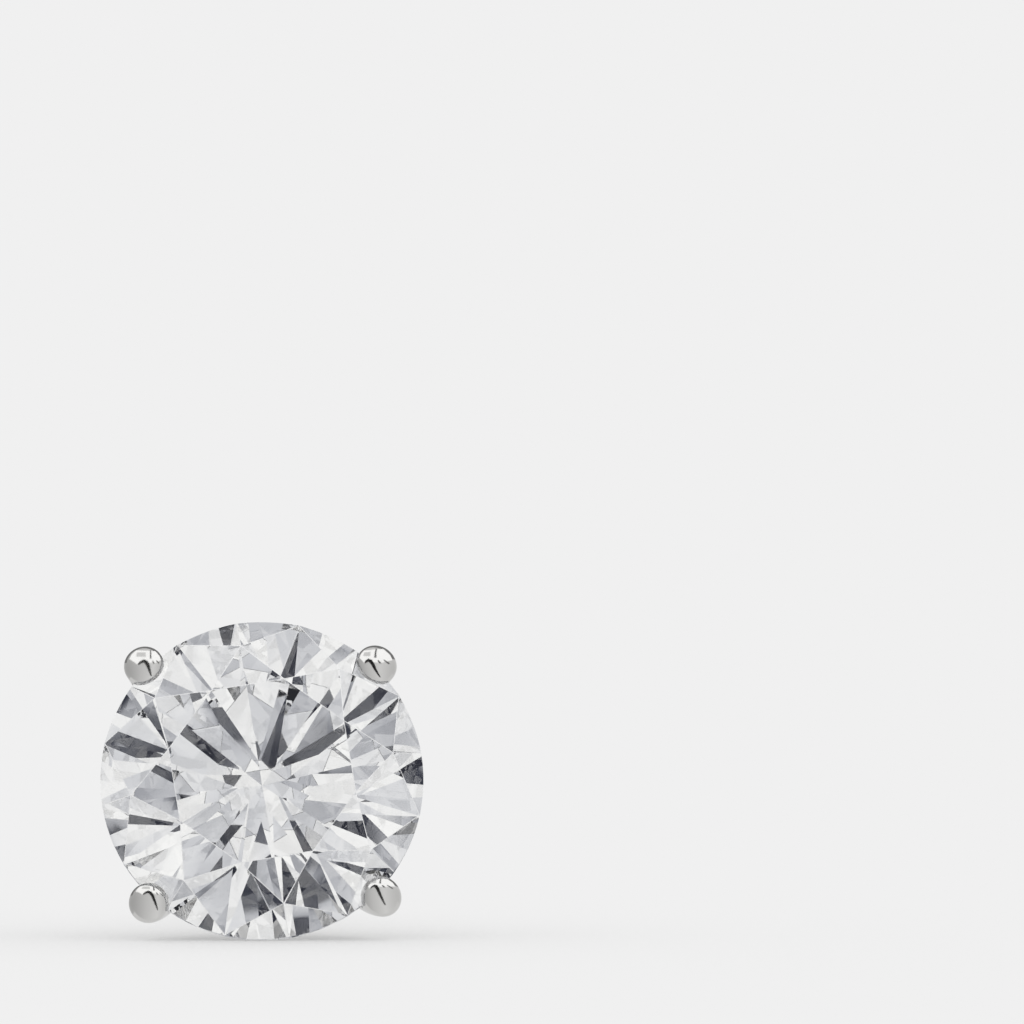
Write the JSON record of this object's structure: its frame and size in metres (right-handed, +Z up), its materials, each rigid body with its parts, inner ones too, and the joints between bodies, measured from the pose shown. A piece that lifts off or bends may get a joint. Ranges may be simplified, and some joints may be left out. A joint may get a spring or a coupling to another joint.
{
  "type": "stud earring",
  "caption": "Stud earring: round brilliant-cut clear stone in a round-wire claw setting of white metal, with a gallery rail, a base plate and a straight ear post.",
  "frame": {"origin": "on the table, under the middle of the stud as it lies", "axes": "+Z up from the table, -Y the way the stone faces (tipped up about 12 degrees), +X to the right seen from the front"},
  "size_m": [0.0064, 0.0148, 0.0064],
  "materials": {
    "clear_stone": "polished facets, bright and colourless",
    "white_metal": "high polish"
  },
  "bodies": {
    "root": {"stone": "clear_stone", "setting": "white_metal"}
  },
  "joints": []
}
